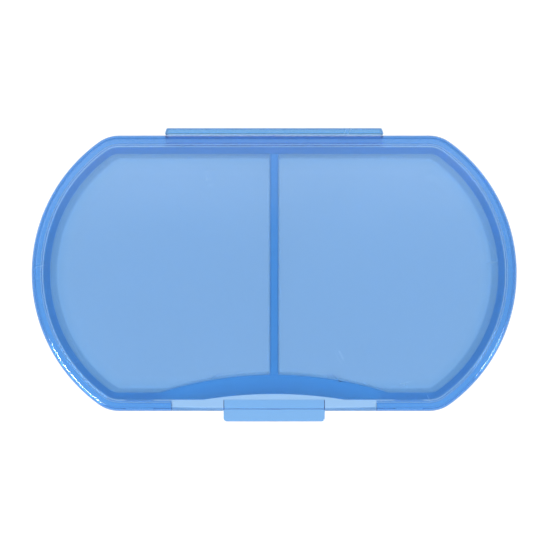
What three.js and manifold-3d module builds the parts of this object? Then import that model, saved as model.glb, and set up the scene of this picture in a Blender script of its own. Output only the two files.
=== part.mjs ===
// A two-compartment pill box in translucent blue polypropylene: a tray with one divider, a lid that
// snaps over it, and a strap behind that carries both on thin living hinges.
// Millimetres. X is the width, +Y points to the hinge, +Z is up, and the origin is the centre of the
// tray's underside. The real box is one moulding, so its meshes are sections of that moulding.
import * as THREE from "three";
import { mergeVertices } from "three/addons/utils/BufferGeometryUtils.js";
import Module from "manifold-3d";

// Overall size, with the lid shut
const boxHeight = 18;
const halfWidth = 41.2;
const halfDepth = 23.4;
const endRadius = 27.5; // the bowed ends, as seen from above
const cornerRadius = 6; // where a bowed end turns into a straight side

// Lid
const lidPanelThickness = 1.4;
const lidTopRounding = 1;
const skirtThickness = 1.35;
const skirtBottom = 12.4;
const fingerGapHalfWidth = 17.4;

// Tray
const lidClearance = 0.55; // between skirt and tray wall, all round
const trayWallThickness = 1.25;
const trayWallTop = 16.3;
const floorThickness = 1.3;
const undersideRounding = 1.3; // the tray's lower outer edge
const coveRadius = 2.1; // where the floor turns up into the walls
const wallDraft = 0.25; // how much thicker the walls are at the floor than at the rim
const floorSectionTop = floorThickness + 0.3; // the floor is a section up to here, and walls above
const dividerThickness = 1.6;
const dividerTop = 16.1;

// Finger scoop in the front wall. Outside, a leaning hollow that is deepest at the floor. Inside, an
// upright bulge that keeps a wall behind the hollow and leaves the rim thick below the thumb tab.
const scoopRadius = 75;
const scoopDepthAtFloor = 2.85;
const scoopDepthAtTop = 0.95;
const bulgeRadius = 64;
const bulgeDepth = 3.03; // past the wall's inner face at the rim

// Thumb tab
const tabHalfWidth = 8.6;
const tabReach = 1.75; // past the lid's front edge
const tabRootDepth = 1.9; // behind the lid's front edge, under the panel
const tabThickness = 3;
const tabCornerRadius = 0.6;

// Strap and its two webs
const strapHalfWidth = 18.75;
const strapThickness = 1;
const strapTaper = 0.35; // the ends lean in by this much across the strap's thickness
const webGap = 0.45; // from lid or ledge to strap
const webThickness = 0.35;
const upperWebTop = skirtBottom + webThickness;
const lowerWebTop = 5.9;
const ledgeThickness = 1.2;

// Snap: beads on the front wall's outer face, and catches on the skirt that come to rest below them
const snapHalfLength = 2.6;
const snapCentreX = 23;
const snapRadius = 0.5;
const snapProud = 0.25;
const beadHeight = 14.1;
const catchHeight = 13.1;

const sectionGap = 0.04; // left between neighbouring sections of the moulding
const endArcSteps = 22;
const cornerSteps = 5;
const scoopSteps = 14;
const roundingSteps = 4;

const trayOutset = skirtThickness + lidClearance;
const trayInset = trayOutset + trayWallThickness;
const trayFront = halfDepth - trayOutset;
const endCentreX = halfWidth - endRadius;
const cornerCentreY = halfDepth - cornerRadius;
// The straight walls end where the corners begin
const cornerCentreX = endCentreX + Math.sqrt((endRadius - cornerRadius) ** 2 - cornerCentreY ** 2);

const wasm = await Module();
wasm.setup();

const polypropylene = { color: 0x5f9de8, roughness: 0.3, metalness: 0 };

function plastic() {
  return new THREE.MeshStandardMaterial(polypropylene);
}

// The solid of a closed geometry, for joining and cutting.
function toSolid(geometry) {
  const bare = new THREE.BufferGeometry();
  bare.setAttribute("position", geometry.getAttribute("position"));
  bare.setIndex(geometry.getIndex());
  const merged = mergeVertices(bare, 1e-4);
  return new wasm.Manifold(
    new wasm.Mesh({
      numProp: 3,
      vertProperties: merged.attributes.position.array,
      triVerts: new Uint32Array(merged.index.array),
    }),
  );
}

function toMesh(name, solid) {
  const made = solid.getMesh();
  const geometry = new THREE.BufferGeometry();
  geometry.setAttribute("position", new THREE.BufferAttribute(made.vertProperties, 3));
  geometry.setIndex(new THREE.BufferAttribute(made.triVerts, 1));
  geometry.computeVertexNormals();
  const mesh = new THREE.Mesh(geometry, plastic());
  mesh.name = name;
  return mesh;
}

function block(lowX, highX, lowY, highY, lowZ, highZ) {
  const geometry = new THREE.BoxGeometry(highX - lowX, highY - lowY, highZ - lowZ);
  geometry.translate((lowX + highX) / 2, (lowY + highY) / 2, (lowZ + highZ) / 2);
  return toSolid(geometry);
}

// The box's outline from above, moved inward by inset, counter-clockwise. Its left half is its right
// half turned round.
function boxOutline(inset) {
  const corner = cornerRadius - inset;
  const end = endRadius - inset;
  const meetAngle = Math.atan2(cornerCentreY, cornerCentreX - endCentreX);
  const arc = (x, y, radius, from, to, steps) =>
    new THREE.EllipseCurve(x, y, radius, radius, from, to).getPoints(steps);
  const right = [
    ...arc(cornerCentreX, -cornerCentreY, corner, -Math.PI / 2, -meetAngle, cornerSteps),
    ...arc(endCentreX, 0, end, -meetAngle, meetAngle, endArcSteps).slice(1, -1),
    ...arc(cornerCentreX, cornerCentreY, corner, meetAngle, Math.PI / 2, cornerSteps),
  ];
  return [...right, ...right.map((point) => point.clone().negate())];
}

// A closed solid through outlines of equal point counts, each at its own height.
function stack(levels) {
  const count = levels[0].outline.length;
  const positions = [];
  for (const { outline, z } of levels) for (const point of outline) positions.push(point.x, point.y, z);
  const index = [];
  for (let level = 0; level + 1 < levels.length; level++)
    for (let i = 0; i < count; i++) {
      const a = level * count + i;
      const b = level * count + ((i + 1) % count);
      index.push(a, b, b + count, a, b + count, a + count);
    }
  const last = (levels.length - 1) * count;
  for (const [a, b, c] of THREE.ShapeUtils.triangulateShape(levels[0].outline, []))
    index.push(c, b, a);
  for (const [a, b, c] of THREE.ShapeUtils.triangulateShape(levels.at(-1).outline, []))
    index.push(last + a, last + b, last + c);
  const geometry = new THREE.BufferGeometry();
  geometry.setAttribute("position", new THREE.Float32BufferAttribute(positions, 3));
  geometry.setIndex(index);
  return toSolid(geometry);
}

function boxSlab(inset, lowZ, highZ) {
  const outline = boxOutline(inset);
  return stack([
    { outline, z: lowZ },
    { outline, z: highZ },
  ]);
}

// A block of the box's outline whose lower edge is rounded, and which widens upwards by draft.
function roundBottomed(inset, lowZ, highZ, radius, draft) {
  const levels = [];
  for (let i = 0; i <= roundingSteps; i++) {
    const angle = (i / roundingSteps) * (Math.PI / 2);
    levels.push({
      outline: boxOutline(inset + radius * (1 - Math.sin(angle))),
      z: lowZ + radius * (1 - Math.cos(angle)),
    });
  }
  levels.push({ outline: boxOutline(inset - draft), z: highZ });
  return stack(levels);
}

// A block of the box's outline whose upper edge is rounded.
function roundTopped(inset, lowZ, highZ, radius) {
  const levels = [{ outline: boxOutline(inset), z: lowZ }];
  for (let i = 0; i <= roundingSteps; i++) {
    const angle = (i / roundingSteps) * (Math.PI / 2);
    levels.push({
      outline: boxOutline(inset + radius * (1 - Math.cos(angle))),
      z: highZ - radius * (1 - Math.sin(angle)),
    });
  }
  return stack(levels);
}

// A block in front of the box whose back face is an arc, reaching to backY(z) on the middle plane.
function archedBlock(radius, backY) {
  const frontY = -halfDepth - 5;
  const level = (z) => {
    const outline = [];
    for (let i = 0; i <= scoopSteps; i++) {
      const x = cornerCentreX * (1 - (2 * i) / scoopSteps);
      outline.push(new THREE.Vector2(x, backY(z) - radius + Math.sqrt(radius ** 2 - x ** 2)));
    }
    outline.push(new THREE.Vector2(-cornerCentreX, frontY), new THREE.Vector2(cornerCentreX, frontY));
    return { outline, z };
  };
  return stack([level(-1), level(trayWallTop + 1)]);
}

// What the scoop cuts out of the tray.
function scoopHollow() {
  const lean = (scoopDepthAtTop - scoopDepthAtFloor) / trayWallTop;
  return archedBlock(scoopRadius, (z) => -trayFront + scoopDepthAtFloor + lean * z);
}

// What the bulge keeps out of the tray's cavity, grown by a gap.
function bulge(gap) {
  return archedBlock(bulgeRadius + gap, () => -halfDepth + trayInset + bulgeDepth + gap);
}

// The part of a solid inside a box-shaped region, kept sectionGap / 2 back from each face of it.
function section(solid, [lowX, highX], [lowY, highY], [lowZ, highZ]) {
  const back = sectionGap / 2;
  return solid.intersect(
    block(lowX + back, highX - back, lowY + back, highY - back, lowZ + back, highZ - back),
  );
}

const beyond = halfWidth + 10; // past every edge of the box
const allWidth = [-beyond, beyond];
const leftEnd = [-beyond, -cornerCentreX];
const middle = [-cornerCentreX, cornerCentreX];
const rightEnd = [cornerCentreX, beyond];
const allDepth = [-beyond, beyond];
const frontHalf = [-beyond, 0];
const backHalf = [0, beyond];

// The tray without its divider, cut from one block: the cavity, and the scoop in the front wall.
function trayShell() {
  const outside = roundBottomed(trayOutset, 0, trayWallTop, undersideRounding, 0);
  return outside.subtract(scoopHollow()).subtract(trayCavity(0));
}

// The space inside the tray, shrunk by a gap.
function trayCavity(gap) {
  return roundBottomed(
    trayInset + wallDraft + gap, floorThickness + gap, trayWallTop, coveRadius, wallDraft,
  ).subtract(bulge(gap));
}

function trayParts() {
  const group = new THREE.Group();
  const shell = trayShell();
  const floor = [-beyond, floorSectionTop];
  const wall = [floorSectionTop, beyond];
  const scoopEnd = Math.sqrt(2 * scoopRadius * scoopDepthAtFloor) + 0.6;
  const besideLeft = [-cornerCentreX, -scoopEnd];
  const acrossScoop = [-scoopEnd, scoopEnd];
  const besideRight = [scoopEnd, cornerCentreX];
  group.add(toMesh("base_floor", section(shell, allWidth, allDepth, floor)));
  group.add(toMesh("base_wall_left", section(shell, leftEnd, allDepth, wall)));
  group.add(toMesh("base_wall_right", section(shell, rightEnd, allDepth, wall)));
  group.add(toMesh("base_wall_back", section(shell, middle, backHalf, wall)));
  group.add(toMesh("base_wall_front_left", section(shell, besideLeft, frontHalf, wall)));
  group.add(toMesh("base_wall_front_right", section(shell, besideRight, frontHalf, wall)));
  group.add(toMesh("finger_scoop_wall", section(shell, acrossScoop, frontHalf, wall)));
  group.add(toMesh("compartment_divider", divider()));
  return group;
}

// A plate across the tray, shaped to its coved floor, its back wall and the scoop's bulge.
function divider() {
  const plate = block(
    -dividerThickness / 2, dividerThickness / 2, -beyond, beyond, 0, dividerTop,
  );
  return plate.intersect(trayCavity(sectionGap));
}

// Half a round bead on a front face: outward is -1 on the tray's outer face, 1 on the skirt's inner.
function snapRidge(name, side, faceY, outward, height) {
  const bead = new THREE.CylinderGeometry(snapRadius, snapRadius, 2 * snapHalfLength, 16);
  bead.rotateZ(Math.PI / 2);
  bead.translate(side * snapCentreX, faceY + outward * (snapProud - snapRadius), height);
  const start = faceY + outward * sectionGap;
  const free = [start, start + outward].sort((a, b) => a - b);
  return toMesh(name, toSolid(bead).intersect(block(-beyond, beyond, ...free, 0, boxHeight)));
}

function hingeLedge() {
  return toMesh("base_hinge_ledge", block(
    -strapHalfWidth, strapHalfWidth,
    trayFront + sectionGap, halfDepth, lowerWebTop - ledgeThickness, lowerWebTop,
  ));
}

// A web lies between the lid's or the ledge's outer face and the strap's inner face.
function hingeWeb(name, topZ) {
  const inset = strapTaper / 2;
  return toMesh(name, block(
    -strapHalfWidth + inset, strapHalfWidth - inset,
    halfDepth + sectionGap, halfDepth + webGap - sectionGap, topZ - webThickness, topZ,
  ));
}

function hingeStrap() {
  const innerY = halfDepth + webGap;
  const outerY = innerY + strapThickness;
  const outline = [
    new THREE.Vector2(-strapHalfWidth, innerY),
    new THREE.Vector2(strapHalfWidth, innerY),
    new THREE.Vector2(strapHalfWidth - strapTaper, outerY),
    new THREE.Vector2(-strapHalfWidth + strapTaper, outerY),
  ];
  const bottomZ = lowerWebTop - webThickness + 0.1;
  return toMesh("hinge_strap", stack([
    { outline, z: bottomZ },
    { outline, z: upperWebTop - 0.1 },
  ]));
}

// The lid without its tab, cut from one block: the hollow, and the finger gap in the skirt.
function lidShell() {
  const underside = boxHeight - lidPanelThickness;
  const outside = roundTopped(0, skirtBottom, boxHeight, lidTopRounding);
  const hollow = boxSlab(skirtThickness, skirtBottom - 1, underside);
  const fingerGap = block(
    -fingerGapHalfWidth, fingerGapHalfWidth, -beyond, 0, skirtBottom - 1, underside,
  );
  return outside.subtract(hollow).subtract(fingerGap);
}

function lidParts() {
  const group = new THREE.Group();
  const shell = lidShell();
  const underside = boxHeight - lidPanelThickness;
  const skirt = [-beyond, underside];
  const panel = [underside - sectionGap / 2, beyond];
  const besideLeft = [-cornerCentreX, 0];
  const besideRight = [0, cornerCentreX];
  group.add(toMesh("lid_panel", section(shell, allWidth, allDepth, panel)));
  group.add(toMesh("lid_skirt_left", section(shell, leftEnd, allDepth, skirt)));
  group.add(toMesh("lid_skirt_right", section(shell, rightEnd, allDepth, skirt)));
  group.add(toMesh("lid_skirt_back", section(shell, middle, backHalf, skirt)));
  group.add(toMesh("lid_skirt_front_left", section(shell, besideLeft, frontHalf, skirt)));
  group.add(toMesh("lid_skirt_front_right", section(shell, besideRight, frontHalf, skirt)));
  group.add(thumbTab());
  return group;
}

// The tab's lip runs out past the lid, and its root lies under the panel's front edge.
function thumbTab() {
  const panelUnderside = boxHeight - lidPanelThickness - sectionGap;
  const tipY = -halfDepth - tabReach;
  const rootY = -halfDepth + tabRootDepth;
  const shape = new THREE.Shape();
  shape.moveTo(-tabHalfWidth, rootY);
  shape.lineTo(-tabHalfWidth, tipY + tabCornerRadius);
  shape.absarc(-tabHalfWidth + tabCornerRadius, tipY + tabCornerRadius, tabCornerRadius,
    Math.PI, Math.PI * 1.5);
  shape.absarc(tabHalfWidth - tabCornerRadius, tipY + tabCornerRadius, tabCornerRadius,
    Math.PI * 1.5, Math.PI * 2);
  shape.lineTo(tabHalfWidth, rootY);
  const lip = new THREE.ExtrudeGeometry(shape, {
    depth: tabThickness, bevelEnabled: false, curveSegments: 5,
  });
  lip.translate(0, 0, boxHeight - tabThickness);
  const panelSpace = block(
    -halfWidth, halfWidth, -halfDepth - sectionGap, halfDepth, panelUnderside, boxHeight + 1,
  );
  return toMesh("thumb_tab", toSolid(lip).subtract(panelSpace));
}

const pillBox = new THREE.Group();

const base = trayParts();
base.add(snapRidge("snap_bead_left", -1, -trayFront, -1, beadHeight));
base.add(snapRidge("snap_bead_right", 1, -trayFront, -1, beadHeight));
base.add(hingeLedge());
base.add(hingeWeb("lower_hinge_web", lowerWebTop));

const strap = new THREE.Group();
strap.add(hingeStrap());
strap.add(hingeWeb("upper_hinge_web", upperWebTop));

const lid = lidParts();
const skirtInnerFace = -halfDepth + skirtThickness;
lid.add(snapRidge("lid_catch_left", -1, skirtInnerFace, 1, catchHeight));
lid.add(snapRidge("lid_catch_right", 1, skirtInnerFace, 1, catchHeight));

pillBox.add(base, strap, lid);

export default pillBox;
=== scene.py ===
# A flat pill box with two compartments in translucent blue plastic: a tray, a lid that snaps over
# it, and a strap behind that carries the lid on two thin webs. Metres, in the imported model's frame.
import math

import bpy
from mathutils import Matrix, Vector


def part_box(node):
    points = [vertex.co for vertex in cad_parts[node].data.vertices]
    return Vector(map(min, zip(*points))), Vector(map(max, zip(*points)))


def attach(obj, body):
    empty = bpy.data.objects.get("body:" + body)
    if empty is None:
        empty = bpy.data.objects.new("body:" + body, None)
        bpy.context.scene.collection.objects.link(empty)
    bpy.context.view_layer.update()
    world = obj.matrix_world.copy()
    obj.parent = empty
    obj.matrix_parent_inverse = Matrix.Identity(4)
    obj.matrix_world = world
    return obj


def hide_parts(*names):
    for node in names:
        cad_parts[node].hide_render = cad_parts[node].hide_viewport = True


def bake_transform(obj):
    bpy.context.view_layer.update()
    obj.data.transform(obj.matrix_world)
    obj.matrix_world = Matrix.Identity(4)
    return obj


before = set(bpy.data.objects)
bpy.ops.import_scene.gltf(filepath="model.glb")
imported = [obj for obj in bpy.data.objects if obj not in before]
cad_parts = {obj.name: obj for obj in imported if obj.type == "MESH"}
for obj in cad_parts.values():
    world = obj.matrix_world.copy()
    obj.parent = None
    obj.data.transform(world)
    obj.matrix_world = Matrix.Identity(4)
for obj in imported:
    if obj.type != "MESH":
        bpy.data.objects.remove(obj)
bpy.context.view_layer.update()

mm = 0.001
scene = bpy.context.scene
spare = 1 * mm  # cutters run this far past what they cut

# How finely everything is made
making = {
    "roundSteps": 6,  # segments across an ordinary rounded edge
    "sharpAngle": math.radians(50),  # only edges sharper than this are rounded
    "smoothAngle": math.radians(16.5),  # faces that meet flatter than this are shaded as one
    "normalWeight": 80,
    "mergeDistance": 0.002 * mm,
    "outlineMergeDistance": 0.001 * mm,
    "placeTolerance": 0.01 * mm,
}

# The outline that the tray and the lid share from above: straight long sides, bowed ends
outline = {
    "endRadius": 27.5 * mm,
    "cornerRadius": 6 * mm,
    "endSteps": 36,
    "cornerSteps": 8,
}
halfWidth, halfDepth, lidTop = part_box("lid_panel")[1]
endCentreX = halfWidth - outline["endRadius"]
cornerCentreY = halfDepth - outline["cornerRadius"]
cornerCentreX = endCentreX + math.sqrt(
    (outline["endRadius"] - outline["cornerRadius"]) ** 2 - cornerCentreY ** 2
)
meetAngle = math.atan2(cornerCentreY, cornerCentreX - endCentreX)  # where corner and end arcs meet


def selectOnly(piece):
    bpy.ops.object.select_all(action="DESELECT")
    piece.select_set(True)
    bpy.context.view_layer.objects.active = piece


def settle(piece):
    selectOnly(piece)
    bpy.ops.object.transform_apply(location=True, rotation=True, scale=True)


def applyModifier(piece, kind, **settings):
    selectOnly(piece)
    modifier = piece.modifiers.new(kind.lower(), kind)
    for name, value in settings.items():
        setattr(modifier, name, value)
    bpy.ops.object.modifier_apply(modifier=modifier.name)


# Enters edit mode with only the wanted points selected
def pickPoints(piece, wanted):
    bpy.context.tool_settings.mesh_select_mode = (True, False, False)
    for part in (piece.data.vertices, piece.data.edges, piece.data.polygons):
        part.foreach_set("select", [False] * len(part))
    for point in piece.data.vertices:
        point.select = wanted(point.co)
    selectOnly(piece)
    bpy.ops.object.mode_set(mode="EDIT")


# Enters edit mode with only the sharp edges selected whose middles are wanted
def pickSharpEdges(piece, wanted):
    selectOnly(piece)
    bpy.context.tool_settings.mesh_select_mode = (False, True, False)
    bpy.ops.object.mode_set(mode="EDIT")
    bpy.ops.mesh.select_all(action="DESELECT")
    bpy.ops.mesh.edges_select_sharp(sharpness=making["sharpAngle"])
    bpy.ops.object.mode_set(mode="OBJECT")
    points = piece.data.vertices
    kept = [
        edge.select and wanted((points[edge.vertices[0]].co + points[edge.vertices[1]].co) / 2)
        for edge in piece.data.edges
    ]
    for part in (piece.data.vertices, piece.data.polygons):
        part.foreach_set("select", [False] * len(part))
    piece.data.edges.foreach_set("select", kept)
    bpy.ops.object.mode_set(mode="EDIT")


def leaveEditMode():
    bpy.ops.object.mode_set(mode="OBJECT")


def roundEdges(piece, radius, wanted, segments=making["roundSteps"]):
    pickSharpEdges(piece, wanted)
    bpy.ops.mesh.bevel(offset=radius, segments=segments, profile=0.5, affect="EDGES",
                       clamp_overlap=False)
    leaveEditMode()


def tidyNormals(piece):
    selectOnly(piece)
    bpy.ops.object.mode_set(mode="EDIT")
    bpy.ops.mesh.select_all(action="SELECT")
    bpy.ops.mesh.remove_doubles(threshold=making["mergeDistance"])
    bpy.ops.mesh.normals_make_consistent(inside=False)
    leaveEditMode()


def cutAway(piece, cutter):
    applyModifier(piece, "BOOLEAN", operation="DIFFERENCE", solver="EXACT", object=cutter)
    bpy.data.objects.remove(cutter)


def joinOn(piece, extra):
    applyModifier(piece, "BOOLEAN", operation="UNION", solver="EXACT", object=extra)
    bpy.data.objects.remove(extra)


def near(value, target):
    return abs(value - target) < making["placeTolerance"]


# The box's outline at a height: a quarter is extruded and spun from one point, then mirrored
def traceOutline(inset, z):
    bpy.ops.object.select_all(action="DESELECT")
    bpy.ops.mesh.primitive_plane_add(size=mm, location=(0, inset - halfDepth, z))
    line = bpy.context.object
    settle(line)
    bpy.context.tool_settings.mesh_select_mode = (True, False, False)
    bpy.ops.object.mode_set(mode="EDIT")
    bpy.ops.mesh.select_all(action="SELECT")
    bpy.ops.mesh.merge(type="CENTER")
    bpy.ops.mesh.extrude_region_move(TRANSFORM_OT_translate={"value": (cornerCentreX, 0, 0)})
    bpy.ops.mesh.spin(steps=outline["cornerSteps"], angle=math.pi / 2 - meetAngle,
                      center=(cornerCentreX, -cornerCentreY, z), axis=(0, 0, -1))
    bpy.ops.mesh.spin(steps=outline["endSteps"], angle=meetAngle,
                      center=(endCentreX, 0, z), axis=(0, 0, -1))
    leaveEditMode()
    applyModifier(line, "MIRROR", use_axis=(True, True, False),
                  merge_threshold=making["outlineMergeDistance"])
    return line


# A closed block between the outline at two heights, each with its own inset
def outlineBlock(name, lowInset, lowZ, highInset, highZ):
    block = traceOutline(lowInset, lowZ)
    upper = traceOutline(highInset, highZ)
    selectOnly(block)
    upper.select_set(True)
    bpy.ops.object.join()
    block.name = name
    pickPoints(block, lambda co: True)
    bpy.ops.mesh.bridge_edge_loops()
    leaveEditMode()
    for z in (lowZ, highZ):
        pickPoints(block, lambda co: near(co.z, z))
        bpy.ops.mesh.edge_face_add()
        leaveEditMode()
    tidyNormals(block)
    return block


def plainBlock(name, low, high):
    low, high = Vector(low), Vector(high)
    bpy.ops.object.select_all(action="DESELECT")
    bpy.ops.mesh.primitive_cube_add(size=1, location=(low + high) / 2, scale=high - low)
    block = bpy.context.object
    block.name = name
    settle(block)
    return block


# The snap's beads and catches are round bars with domed ends
snapBar = {
    "radius": 0.5 * mm,
    "proud": 0.25 * mm,  # how far each stands out of its wall
    "domeShare": 0.8,  # of the radius
    "sides": 36,
}


# A bar along X from low to high
def crossBar(name, low, high, centreY, centreZ):
    radius = snapBar["radius"]
    bpy.ops.object.select_all(action="DESELECT")
    bpy.ops.mesh.primitive_cylinder_add(vertices=snapBar["sides"], radius=radius, depth=high - low,
                                        location=((low + high) / 2, centreY, centreZ),
                                        rotation=(0, math.pi / 2, 0))
    bar = bpy.context.object
    bar.name = name
    settle(bar)
    roundEdges(bar, radius * snapBar["domeShare"], lambda co: near(co.x, low) or near(co.x, high))
    return bar


def shadeSmooth(piece):
    selectOnly(piece)
    bpy.ops.object.shade_smooth_by_angle(angle=making["smoothAngle"])
    applyModifier(piece, "WEIGHTED_NORMAL", keep_sharp=True, weight=making["normalWeight"])


trayShape = {
    "wallThickness": 1.25 * mm,
    "wallDraft": 0.25 * mm,  # the cavity is this much narrower at the floor
    "floorThickness": 1.3 * mm,
    "undersideRadius": 1.3 * mm,
    "undersideSteps": 9,
    "coveRadius": 2.1 * mm,
    "coveSteps": 7,
    "rimRadius": 0.18 * mm,
    "filletRadius": 0.4 * mm,
    "dividerRadius": 0.3 * mm,
    "dividerFootThickness": 1.7 * mm,
    "dividerTopThickness": 1.45 * mm,
    "scoopRadius": 75 * mm,  # the finger scoop outside leans, and is deepest at the floor
    "scoopDepthAtFloor": 2.85 * mm,
    "scoopDepthAtTop": 0.95 * mm,
    "bulgeRadius": 64 * mm,  # the bulge inside is upright, so the rim is thick below the tab
    "bulgeDepth": 3.03 * mm,
    "bulgeFilletHalfWidth": 16.5 * mm,
    "arcSides": 512,  # of the whole circle behind the scoop's and the bulge's arcs
    "ledgeRadius": 0.25 * mm,
    "ledgeOverlap": 0.4 * mm,  # how far the ledge starts inside the wall
}
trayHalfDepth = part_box("base_wall_back")[1].y
trayInset = halfDepth - trayHalfDepth  # from the lid's outline in to the tray's
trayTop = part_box("base_wall_back")[1].z
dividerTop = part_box("compartment_divider")[1].z


# A tall cylinder in front of the tray whose back reaches backY at the floor, leaning by lean
def frontCylinder(radius, backY, lean):
    lowZ, highZ = -spare, trayTop + 2 * spare
    bpy.ops.object.select_all(action="DESELECT")
    bpy.ops.mesh.primitive_cylinder_add(vertices=trayShape["arcSides"], radius=radius, depth=highZ - lowZ,
                                        location=(0, backY + lean * lowZ - radius, (lowZ + highZ) / 2))
    cutter = bpy.context.object
    settle(cutter)
    pickPoints(cutter, lambda co: co.z > trayTop)
    bpy.ops.transform.translate(value=(0, lean * (highZ - lowZ), 0))
    leaveEditMode()
    return cutter


def scoopHollow():
    atFloor, atTop = trayShape["scoopDepthAtFloor"], trayShape["scoopDepthAtTop"]
    return frontCylinder(trayShape["scoopRadius"], atFloor - trayHalfDepth, (atTop - atFloor) / trayTop)


def bulge():
    innerFace = trayShape["wallThickness"] - trayHalfDepth
    return frontCylinder(trayShape["bulgeRadius"], innerFace + trayShape["bulgeDepth"], 0)


def dividerWedge():
    foot, top = trayShape["dividerFootThickness"], trayShape["dividerTopThickness"]
    wedge = plainBlock("wedge", (-foot / 2, -halfDepth, 0), (foot / 2, halfDepth, dividerTop))
    pickPoints(wedge, lambda co: near(co.z, dividerTop))
    bpy.ops.transform.resize(value=(top / foot, 1, 1))
    leaveEditMode()
    roundEdges(wedge, trayShape["dividerRadius"],
               lambda co: near(co.z, dividerTop) and abs(co.x) > foot / 4)  # the two long top edges
    return wedge


# What is hollow in the tray: the cavity, less the divider and the bulge behind the scoop
def compartments():
    inset = trayInset + trayShape["wallThickness"]
    floor = trayShape["floorThickness"]
    draft = trayShape["wallDraft"]
    above = draft * 2 * spare / trayTop
    core = outlineBlock("compartments", inset + draft, floor, inset - above, trayTop + 2 * spare)
    roundEdges(core, trayShape["coveRadius"], lambda co: near(co.z, floor), trayShape["coveSteps"])
    cutAway(core, bulge())
    cutAway(core, dividerWedge())

    def alongDivider(co):
        return co.z < dividerTop - 2 * spare and abs(co.x) < trayShape["dividerFootThickness"]

    def alongBulge(co):
        return near(co.z, floor) and co.y < 0 and abs(co.x) < trayShape["bulgeFilletHalfWidth"]

    roundEdges(core, trayShape["filletRadius"], lambda co: alongDivider(co) or alongBulge(co))
    return core


def buildTray():
    tray = outlineBlock("trayMoulding", trayInset, 0, trayInset, trayTop)
    roundEdges(tray, trayShape["undersideRadius"], lambda co: near(co.z, 0), trayShape["undersideSteps"])
    cutAway(tray, scoopHollow())
    cutAway(tray, compartments())
    roundEdges(tray, trayShape["rimRadius"], lambda co: near(co.z, trayTop))

    low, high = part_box("base_hinge_ledge")
    ledge = plainBlock("ledge", (low.x, trayHalfDepth - trayShape["ledgeOverlap"], low.z), high)
    roundEdges(ledge, trayShape["ledgeRadius"], lambda co: co.y > trayHalfDepth)
    joinOn(tray, ledge)

    centreY = -trayHalfDepth - snapBar["proud"] + snapBar["radius"]
    for node in ("snap_bead_left", "snap_bead_right"):
        low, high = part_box(node)
        joinOn(tray, crossBar("bead", low.x, high.x, centreY, (low.z + high.z) / 2))
    tidyNormals(tray)
    shadeSmooth(tray)
    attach(tray, "base")
    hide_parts("base_floor", "base_wall_left", "base_wall_right", "base_wall_back",
                "base_wall_front_left", "base_wall_front_right", "finger_scoop_wall",
                "compartment_divider", "base_hinge_ledge", "snap_bead_left", "snap_bead_right")
    print("tray:", len(tray.data.polygons), "faces")
    return tray


lidShape = {
    "skirtThickness": 1.35 * mm,
    "skirtDraft": 0.08 * mm,
    "topRadius": 1 * mm,
    "topSteps": 8,
    "innerRadius": 0.5 * mm,
    "edgeRadius": 0.25 * mm,
    "gapHalfWidth": 17.4 * mm,
    "gapOvercut": 0.3 * mm,  # the finger gap goes this far in past the inner rounding
    "tabDrop": 0.3 * mm,  # the tab's top lies this far below the lid's
    "tabRoot": 1.9 * mm,
    "tabCornerRadius": 0.6 * mm,
    "tabCornerMargin": 0.1 * mm,  # keeps the tab's top and bottom edges out of its corner rounding
}
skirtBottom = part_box("lid_skirt_back")[0].z
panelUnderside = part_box("lid_panel")[0].z


def fingerGap():
    reach = halfDepth - lidShape["skirtThickness"] - lidShape["innerRadius"] - lidShape["gapOvercut"]
    return plainBlock("gap", (-lidShape["gapHalfWidth"], -halfDepth - spare, skirtBottom - spare),
                      (lidShape["gapHalfWidth"], -reach, panelUnderside))


def thumbTab():
    low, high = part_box("thumb_tab")
    rootY = lidShape["tabRoot"] - halfDepth
    topZ = lidTop - lidShape["tabDrop"]
    tab = plainBlock("tab", low, (high.x, rootY, topZ))

    def atFrontCorner(co):
        margin = lidShape["tabCornerMargin"]
        upright = low.z + margin < co.z < topZ - margin
        return upright and co.y < -halfDepth - spare and near(abs(co.x), high.x)

    roundEdges(tab, lidShape["tabCornerRadius"], atFrontCorner)
    roundEdges(tab, lidShape["edgeRadius"], lambda co: not near(co.y, rootY))
    return tab


def buildLid():
    lid = outlineBlock("lidMoulding", 0, skirtBottom, 0, lidTop)
    roundEdges(lid, lidShape["topRadius"], lambda co: near(co.z, lidTop), lidShape["topSteps"])
    thickness, draft = lidShape["skirtThickness"], lidShape["skirtDraft"]
    hollow = outlineBlock("hollow", thickness - draft / 2, skirtBottom - spare,
                          thickness + draft / 2, panelUnderside)
    roundEdges(hollow, lidShape["innerRadius"], lambda co: near(co.z, panelUnderside))
    cutAway(lid, hollow)
    cutAway(lid, fingerGap())
    roundEdges(lid, lidShape["edgeRadius"], lambda co: near(co.z, skirtBottom))
    joinOn(lid, thumbTab())

    centreY = -halfDepth + thickness + snapBar["proud"] - snapBar["radius"]
    for node in ("lid_catch_left", "lid_catch_right"):
        low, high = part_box(node)
        joinOn(lid, crossBar("catch", low.x, high.x, centreY, (low.z + high.z) / 2))
    tidyNormals(lid)
    shadeSmooth(lid)
    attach(lid, "lid")
    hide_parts("lid_panel", "lid_skirt_left", "lid_skirt_right", "lid_skirt_back",
                "lid_skirt_front_left", "lid_skirt_front_right", "thumb_tab",
                "lid_catch_left", "lid_catch_right")
    print("lid:", len(lid.data.polygons), "faces")
    return lid


strapShape = {
    "edgeRadius": 0.2 * mm,
    "endTaper": 0.35 * mm,  # each end leans in by this much across the strap's thickness
}


def buildStrap():
    low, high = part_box("hinge_strap")
    strap = plainBlock("strapMoulding", low, high)
    pickPoints(strap, lambda co: near(co.y, high.y))
    bpy.ops.transform.resize(value=(1 - strapShape["endTaper"] / high.x, 1, 1))
    leaveEditMode()
    roundEdges(strap, strapShape["edgeRadius"], lambda co: True)
    tidyNormals(strap)
    shadeSmooth(strap)
    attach(strap, "strap")
    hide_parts("hinge_strap")
    print("strap:", len(strap.data.polygons), "faces")
    return strap


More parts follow.
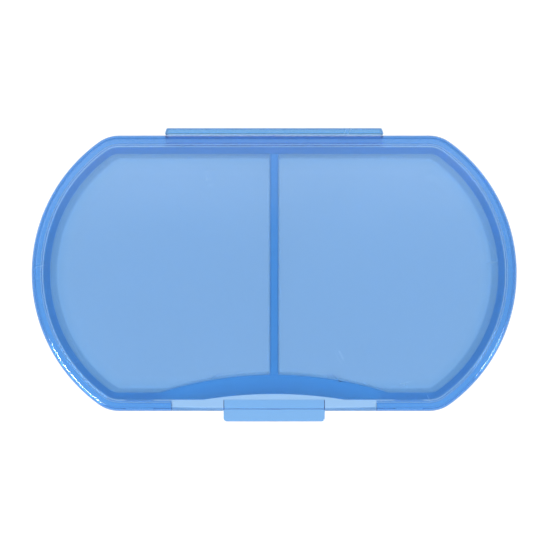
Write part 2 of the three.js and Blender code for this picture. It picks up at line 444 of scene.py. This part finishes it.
webShape = {
    "steps": 10,  # it is cut across into this many steps
    "waist": 0.6,  # its thickness halfway across, as a share of that at its ends
    "gap": 0.01 * mm,  # to the pieces that it joins
    "cutTolerance": 0.001 * mm,
}
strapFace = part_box("hinge_strap")[0].y


# A thin web between a moulding's outer face and the strap, cut across into steps and thinner halfway
# across
def buildWeb(name, node):
    low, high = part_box(node)
    nearY, farY = halfDepth + webShape["gap"], strapFace - webShape["gap"]
    web = plainBlock(name, (low.x, nearY, low.z), (high.x, farY, high.z))
    selectOnly(web)
    bpy.ops.object.mode_set(mode="EDIT")
    for step in range(1, webShape["steps"]):
        bpy.ops.mesh.select_all(action="SELECT")
        cutY = nearY + (farY - nearY) * step / webShape["steps"]
        bpy.ops.mesh.bisect(plane_co=(0, cutY, 0), plane_no=(0, 1, 0), threshold=webShape["cutTolerance"])
    leaveEditMode()
    for step in range(1, webShape["steps"]):
        share = step / webShape["steps"]
        cutY = nearY + (farY - nearY) * share
        waist = 1 - (1 - webShape["waist"]) * math.sin(math.pi * share) ** 2
        pickPoints(web, lambda co: near(co.y, cutY))
        bpy.ops.transform.resize(value=(1, 1, waist))
        leaveEditMode()
    tidyNormals(web)
    shadeSmooth(web)
    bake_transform(web)
    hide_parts(node)
    print(name + ":", len(web.data.polygons), "faces")
    return web


tray = buildTray()
lid = buildLid()
strap = buildStrap()
lowerWeb = buildWeb("lowerWeb", "lower_hinge_web")
upperWeb = buildWeb("upperWeb", "upper_hinge_web")


def newGroup(name, inputs, outputs):
    group = bpy.data.node_groups.new(name, "ShaderNodeTree")
    for label, kind, value in inputs:
        socket = group.interface.new_socket(name=label, in_out="INPUT", socket_type="NodeSocket" + kind)
        if kind == "Float":
            socket.default_value = value
    for label, kind in outputs:
        group.interface.new_socket(name=label, in_out="OUTPUT", socket_type="NodeSocket" + kind)
    return group, group.nodes.new("NodeGroupInput"), group.nodes.new("NodeGroupOutput")


# The two inputs may be numbers or sockets
def mathNode(tree, operation, first, second, clamp=False):
    node = tree.nodes.new("ShaderNodeMath")
    node.operation = operation
    node.use_clamp = clamp
    for socket, value in zip(node.inputs, (first, second)):
        if isinstance(value, (int, float)):
            socket.default_value = value
        else:
            tree.links.new(value, socket)
    return node.outputs[0]


def noiseNode(tree, place, scale, detail, roughness):
    node = tree.nodes.new("ShaderNodeTexNoise")
    node.inputs["Detail"].default_value = detail
    node.inputs["Roughness"].default_value = roughness
    tree.links.new(place, node.inputs["Vector"])
    if isinstance(scale, (int, float)):
        node.inputs["Scale"].default_value = scale
    else:
        tree.links.new(scale, node.inputs["Scale"])
    return node.outputs["Fac"]


scratchPattern = {
    "detail": 2.0,
    "break": 0.5,
    "patchScale": 130.0,  # the patches that break the lines up
    "patchSharpness": 12,
}


# Thin lines that run one way, broken up into short stretches
def hairScratches():
    group, given, result = newGroup(
        "hairScratches",
        [("Place", "Vector", None), ("Turn", "Float", 0.5), ("Fineness", "Float", 300.0),
         ("Stretch", "Float", 0.04), ("Width", "Float", 0.01), ("Share", "Float", 0.5)],
        [("Mask", "Float")],
    )
    links = group.links
    turned = group.nodes.new("ShaderNodeVectorRotate")
    turned.rotation_type = "Z_AXIS"
    links.new(given.outputs["Place"], turned.inputs["Vector"])
    links.new(given.outputs["Turn"], turned.inputs["Angle"])
    squeezed = group.nodes.new("ShaderNodeCombineXYZ")
    links.new(given.outputs["Stretch"], squeezed.inputs["X"])
    squeezed.inputs["Y"].default_value = 1
    squeezed.inputs["Z"].default_value = 1
    long = group.nodes.new("ShaderNodeVectorMath")
    long.operation = "MULTIPLY"
    links.new(turned.outputs["Vector"], long.inputs[0])
    links.new(squeezed.outputs["Vector"], long.inputs[1])
    lines = noiseNode(group, long.outputs["Vector"], given.outputs["Fineness"],
                      scratchPattern["detail"], scratchPattern["break"])
    offCentre = mathNode(group, "ABSOLUTE", mathNode(group, "SUBTRACT", lines, 0.5), 0)
    line = mathNode(group, "SUBTRACT", 1, mathNode(group, "DIVIDE", offCentre, given.outputs["Width"]),
                    clamp=True)
    patches = noiseNode(group, given.outputs["Place"], scratchPattern["patchScale"],
                        scratchPattern["detail"], scratchPattern["break"])
    here = mathNode(group, "MULTIPLY", mathNode(group, "SUBTRACT", patches, given.outputs["Share"]),
                    scratchPattern["patchSharpness"], clamp=True)
    links.new(mathNode(group, "MULTIPLY", line, here), result.inputs["Mask"])
    return group


skinPattern = {
    "grain": {"detail": 3.0, "roughness": 0.6},
    "wave": {"detail": 2.0, "roughness": 0.4},
    "flow": {"detail": 3.0, "roughness": 0.5},
    "grainHeight": 0.12,  # against the wave's
}


# The faint waviness and grain that a mould leaves, and broad patches where plastic flowed
def mouldSkin():
    group, given, result = newGroup(
        "mouldSkin",
        [("Place", "Vector", None), ("Grain", "Float", 2200.0), ("Wave", "Float", 160.0),
         ("Flow", "Float", 45.0)],
        [("Height", "Float"), ("Patches", "Float")],
    )
    grain = noiseNode(group, given.outputs["Place"], given.outputs["Grain"], **skinPattern["grain"])
    wave = noiseNode(group, given.outputs["Place"], given.outputs["Wave"], **skinPattern["wave"])
    flow = noiseNode(group, given.outputs["Place"], given.outputs["Flow"], **skinPattern["flow"])
    height = mathNode(group, "ADD", mathNode(group, "MULTIPLY", grain, skinPattern["grainHeight"]), wave)
    group.links.new(height, result.inputs["Height"])
    group.links.new(flow, result.inputs["Patches"])
    return group


scratchGroup = hairScratches()
skinGroup = mouldSkin()


def useGroup(tree, group, place, **values):
    node = tree.nodes.new("ShaderNodeGroup")
    node.node_tree = group
    tree.links.new(place, node.inputs["Place"])
    for name, value in values.items():
        node.inputs[name].default_value = value
    return node


# Turns a mask from 0 to 1 into a value from low to high
def spread(tree, factor, low, high):
    node = tree.nodes.new("ShaderNodeMapRange")
    node.inputs["To Min"].default_value = low
    node.inputs["To Max"].default_value = high
    tree.links.new(factor, node.inputs["Value"])
    return node.outputs["Result"]


def bluePlastic(name, look):
    material = bpy.data.materials.new(name)
    material.use_nodes = True
    tree = material.node_tree
    shader = tree.nodes["Principled BSDF"]
    place = tree.nodes.new("ShaderNodeTexCoord").outputs["Object"]
    skin = useGroup(tree, skinGroup, place, Grain=look["grain"], Wave=look["wave"], Flow=look["flow"])
    across = useGroup(tree, scratchGroup, place, Turn=look["scratchTurn"],
                      Fineness=look["scratchFineness"], Share=look["scratchShare"])
    slanting = useGroup(tree, scratchGroup, place, Turn=look["scratchTurn"] + look["slantTurn"],
                        Fineness=look["scratchFineness"] * look["slantFineness"],
                        Share=look["scratchShare"])
    scratches = mathNode(tree, "MAXIMUM", across.outputs["Mask"], slanting.outputs["Mask"])

    tint = tree.nodes.new("ShaderNodeMix")
    tint.data_type = "RGBA"
    tree.links.new(skin.outputs["Patches"], tint.inputs["Factor"])
    tint.inputs["A"].default_value = (*look["tint"], 1)
    tint.inputs["B"].default_value = (*look["deepTint"], 1)
    tree.links.new(tint.outputs["Result"], shader.inputs["Base Color"])

    rough = mathNode(tree, "ADD", spread(tree, skin.outputs["Patches"], *look["roughness"]),
                     mathNode(tree, "MULTIPLY", scratches, look["scratchRoughness"]), clamp=True)
    tree.links.new(rough, shader.inputs["Roughness"])

    bump = tree.nodes.new("ShaderNodeBump")
    bump.inputs["Strength"].default_value = look["bumpStrength"]
    bump.inputs["Distance"].default_value = look["bumpDepth"]
    height = mathNode(tree, "SUBTRACT", skin.outputs["Height"],
                      mathNode(tree, "MULTIPLY", scratches, look["scratchDepth"]))
    tree.links.new(height, bump.inputs["Height"])
    tree.links.new(bump.outputs["Normal"], shader.inputs["Normal"])

    shader.inputs["Metallic"].default_value = 0
    shader.inputs["IOR"].default_value = look["ior"]
    shader.inputs["Transmission Weight"].default_value = 1
    absorb = tree.nodes.new("ShaderNodeVolumeAbsorption")
    absorb.inputs["Color"].default_value = (*look["depthColour"], 1)
    absorb.inputs["Density"].default_value = look["depthDensity"]
    tree.links.new(absorb.outputs["Volume"], tree.nodes["Material Output"].inputs["Volume"])
    return material


trayLook = {
    "tint": (0.85, 0.905, 0.98),
    "deepTint": (0.83, 0.895, 0.975),
    "depthColour": (0.0, 0.72, 0.985),  # what a depth of plastic leaves of white light
    "depthDensity": 115,  # per metre
    "ior": 1.49,
    "roughness": (0.3, 0.38),
    "grain": 2200,
    "wave": 160,
    "flow": 45,
    "bumpStrength": 0.3,
    "bumpDepth": 0.03 * mm,
    "scratchTurn": 0.5,
    "scratchFineness": 420,
    "slantTurn": 1.9,  # a second set of scratches crosses the first
    "slantFineness": 0.7,
    "scratchShare": 0.62,
    "scratchRoughness": 0.2,
    "scratchDepth": 0.4,
}
lidLook = {
    **trayLook,
    "tint": (0.47, 0.62, 0.85),
    "deepTint": (0.45, 0.61, 0.84),
    "depthColour": (0.0, 0.58, 0.91),
    "depthDensity": 320,
    "roughness": (0.08, 0.14),
    "scratchTurn": 1.1,
    "scratchShare": 0.6,
}
strapLook = {
    **trayLook,
    "tint": (0.56, 0.68, 0.88),
    "deepTint": (0.54, 0.67, 0.87),
    "depthColour": (0.0, 0.6, 0.88),
    "depthDensity": 200,
    "roughness": (0.16, 0.24),
    "wave": 300,
    "scratchTurn": 0.1,
}
webLook = {
    **strapLook,
    "tint": (0.85, 0.92, 0.98),
    "deepTint": (0.82, 0.9, 0.97),
    "depthDensity": 100,
    "wave": 500,
    "flow": 200,
}


def dress(look, name, *pieces):
    material = bluePlastic(name, look)
    for piece in pieces:
        piece.data.materials.clear()
        piece.data.materials.append(material)
    print(name + ":", len(pieces), "pieces")


dress(trayLook, "trayBluePlastic", tray)
dress(lidLook, "lidBluePlastic", lid)
dress(strapLook, "strapBluePlastic", strap)
dress(webLook, "webBluePlastic", lowerWeb, upperWeb)


studio = {
    "floorSize": 6.0,
    "floorDrop": 0.05 * mm,
    "floorColour": (0.12, 0.12, 0.12, 1),
    "floorRoughness": 0.9,
    "floorGlow": 0.95,  # the floor is a lit table
    "horizonStrength": 1.0,
    "overheadStrength": 0.7,
    "cameraHeight": 0.55,  # above the lid
    "cameraAim": (0.14 * mm, -0.29 * mm),
    "frameWidth": 93.25 * mm,  # what the frame takes in at the lid
    "sensorWidth": 36,
    "clipping": (0.01, 20),
    "bounces": 32,
}
# Where each soft light stands, its width and height, its power in watts, and where it faces
softLights = {
    "overheadBox": {
        "place": (-0.12, 0.33, 0.75),
        "size": (0.9, 0.6),
        "power": 2.5,
        "straightDown": True,
    },
    "leftFront": {
        "place": (-0.30, -0.25, 0.33),
        "size": (0.2, 0.08),
        "power": 3.0,
        "straightDown": False,
    },
    "rightFront": {
        "place": (0.37, -0.20, 0.33),
        "size": (0.12, 0.06),
        "power": 1.0,
        "straightDown": False,
    },
}


def buildFloor():
    bpy.ops.object.select_all(action="DESELECT")
    bpy.ops.mesh.primitive_plane_add(size=studio["floorSize"], location=(0, 0, -studio["floorDrop"]))
    floor = bpy.context.object
    floor.name = "studioFloor"
    settle(floor)
    material = bpy.data.materials.new("paleFloor")
    material.use_nodes = True
    shader = material.node_tree.nodes["Principled BSDF"]
    shader.inputs["Base Color"].default_value = studio["floorColour"]
    shader.inputs["Roughness"].default_value = studio["floorRoughness"]
    shader.inputs["Specular IOR Level"].default_value = 0
    shader.inputs["Emission Color"].default_value = (1, 1, 1, 1)
    shader.inputs["Emission Strength"].default_value = studio["floorGlow"]
    floor.data.materials.append(material)
    print("floor done")


# A white tent, brightest at the horizon and dimmer overhead
def buildSky():
    world = bpy.data.worlds.new("studioSky")
    scene.world = world
    world.use_nodes = True
    tree = world.node_tree
    direction = tree.nodes.new("ShaderNodeSeparateXYZ")
    tree.links.new(tree.nodes.new("ShaderNodeTexCoord").outputs["Generated"], direction.inputs[0])
    strength = spread(tree, direction.outputs["Z"],
                      studio["horizonStrength"], studio["overheadStrength"])
    tree.links.new(strength, tree.nodes["Background"].inputs["Strength"])
    tree.nodes["Background"].inputs["Color"].default_value = (1, 1, 1, 1)
    print("sky done")


def softLight(name, settings):
    light = bpy.data.lights.new(name, "AREA")
    light.shape = "RECTANGLE"
    light.size, light.size_y = settings["size"]
    light.energy = settings["power"]
    holder = bpy.data.objects.new(name, light)
    scene.collection.objects.link(holder)
    holder.location = settings["place"]
    if not settings["straightDown"]:  # turned towards the box
        holder.rotation_euler = (-holder.location).to_track_quat("-Z", "Y").to_euler()
    print(name + " light done")


def buildCamera():
    camera = bpy.data.objects.new("overheadCamera", bpy.data.cameras.new("overheadCamera"))
    scene.collection.objects.link(camera)
    camera.location = (*studio["cameraAim"], lidTop + studio["cameraHeight"])
    camera.data.sensor_width = studio["sensorWidth"]
    camera.data.lens = studio["sensorWidth"] * studio["cameraHeight"] / studio["frameWidth"]
    camera.data.clip_start, camera.data.clip_end = studio["clipping"]
    scene.camera = camera
    print("camera done")


buildFloor()
buildSky()
for name, settings in softLights.items():
    softLight(name, settings)
buildCamera()
scene.view_settings.view_transform = "Standard"
scene.cycles.max_bounces = studio["bounces"]
scene.cycles.transmission_bounces = studio["bounces"]
scene.cycles.glossy_bounces = studio["bounces"] // 2
scene.cycles.diffuse_bounces = studio["bounces"] // 4

bpy.context.view_layer.update()
